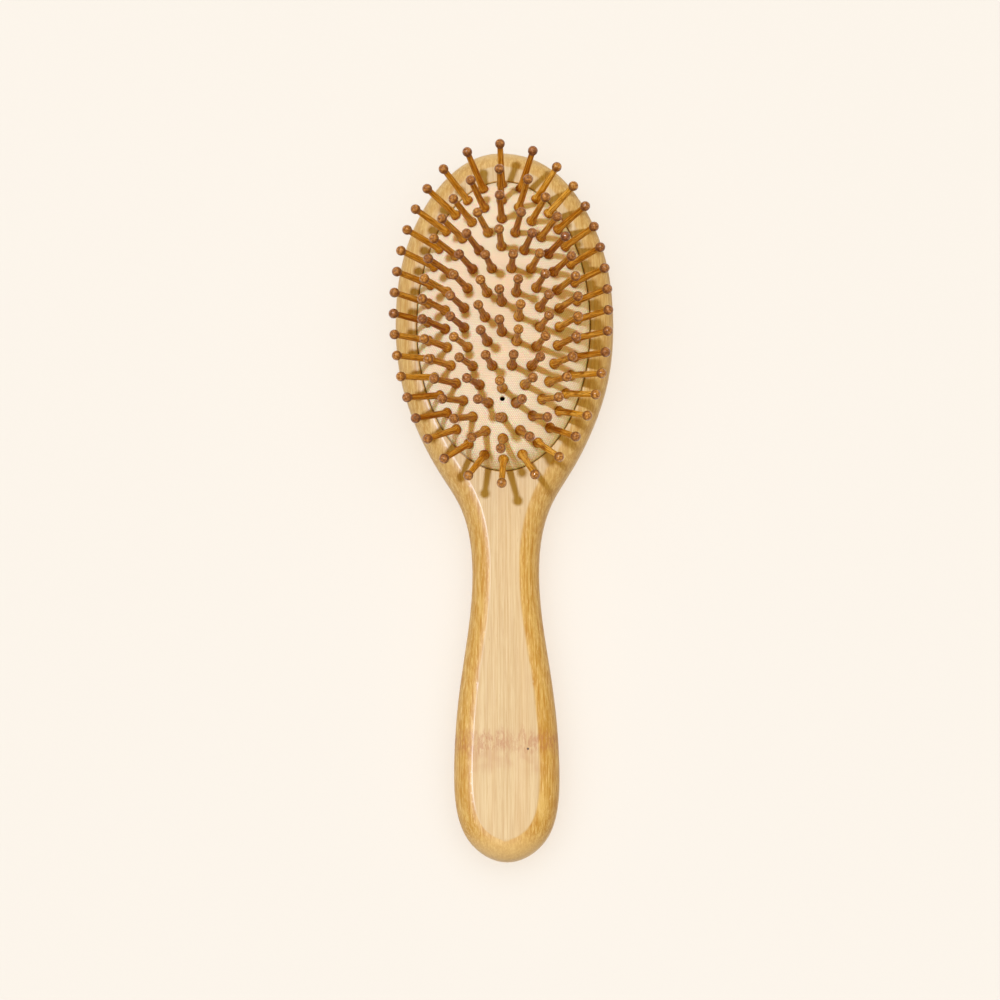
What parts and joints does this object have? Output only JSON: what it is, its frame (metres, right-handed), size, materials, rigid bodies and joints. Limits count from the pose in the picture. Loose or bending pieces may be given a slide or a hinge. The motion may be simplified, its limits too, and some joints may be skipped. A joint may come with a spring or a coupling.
{
  "type": "oval cushion hair brush",
  "caption": "Oval cushion hair brush with a flat bamboo board, a domed rubber air cushion and ball-tipped bamboo pins that fan outward.",
  "frame": {"origin": "on the flat back of the board, under the middle of the oval head", "axes": "+Y along the board to the tip of the head, +Z out of the cushion, along the middle pins; the handle runs to -Y"},
  "size_m": [0.069, 0.2233, 0.0422],
  "materials": {
    "bamboo_board": "satin lacquer",
    "natural_rubber": "matte",
    "bamboo_pin": "satin lacquer"
  },
  "bodies": {
    "brush_body": {"back_ply": "bamboo_board", "core_ply": "bamboo_board", "front_ply": "bamboo_board", "rubber_cushion": "natural_rubber"},
    "centre_pins": {"pins_d1": "bamboo_pin", "pins_d2": "bamboo_pin", "pins_e1": "bamboo_pin"},
    "ring_a_pins": {"pins_a1": "bamboo_pin", "pins_a2": "bamboo_pin", "pins_a3": "bamboo_pin", "pins_a4": "bamboo_pin", "pins_a5": "bamboo_pin", "pins_a6": "bamboo_pin"},
    "ring_b_pins": {"pins_b1": "bamboo_pin", "pins_b2": "bamboo_pin", "pins_b3": "bamboo_pin", "pins_b4": "bamboo_pin", "pins_b5": "bamboo_pin"},
    "ring_c_pins": {"pins_c1": "bamboo_pin", "pins_c2": "bamboo_pin", "pins_c3": "bamboo_pin", "pins_c4": "bamboo_pin"}
  },
  "joints": [
    {"name": "cushion_press", "type": "slide", "parent": "brush_body", "child": "centre_pins", "axis": [0, 0, -1], "range_m": [0, 0.004], "stiffness_N_per_m": 3000, "deforming": ["rubber_cushion"]},
    {"name": "ring_a_press", "type": "slide", "parent": "brush_body", "child": "ring_a_pins", "axis": [0, 0, -1], "range_m": [0, 0.0021]},
    {"name": "ring_b_press", "type": "slide", "parent": "brush_body", "child": "ring_b_pins", "axis": [0, 0, -1], "range_m": [0, 0.00322]},
    {"name": "ring_c_press", "type": "slide", "parent": "brush_body", "child": "ring_c_pins", "axis": [0, 0, -1], "range_m": [0, 0.00384]}
  ],
  "couplings": [
    {"joint": "ring_a_press", "follows": "cushion_press", "ratio": 0.475},
    {"joint": "ring_b_press", "follows": "cushion_press", "ratio": 0.755},
    {"joint": "ring_c_press", "follows": "cushion_press", "ratio": 0.91}
  ]
}
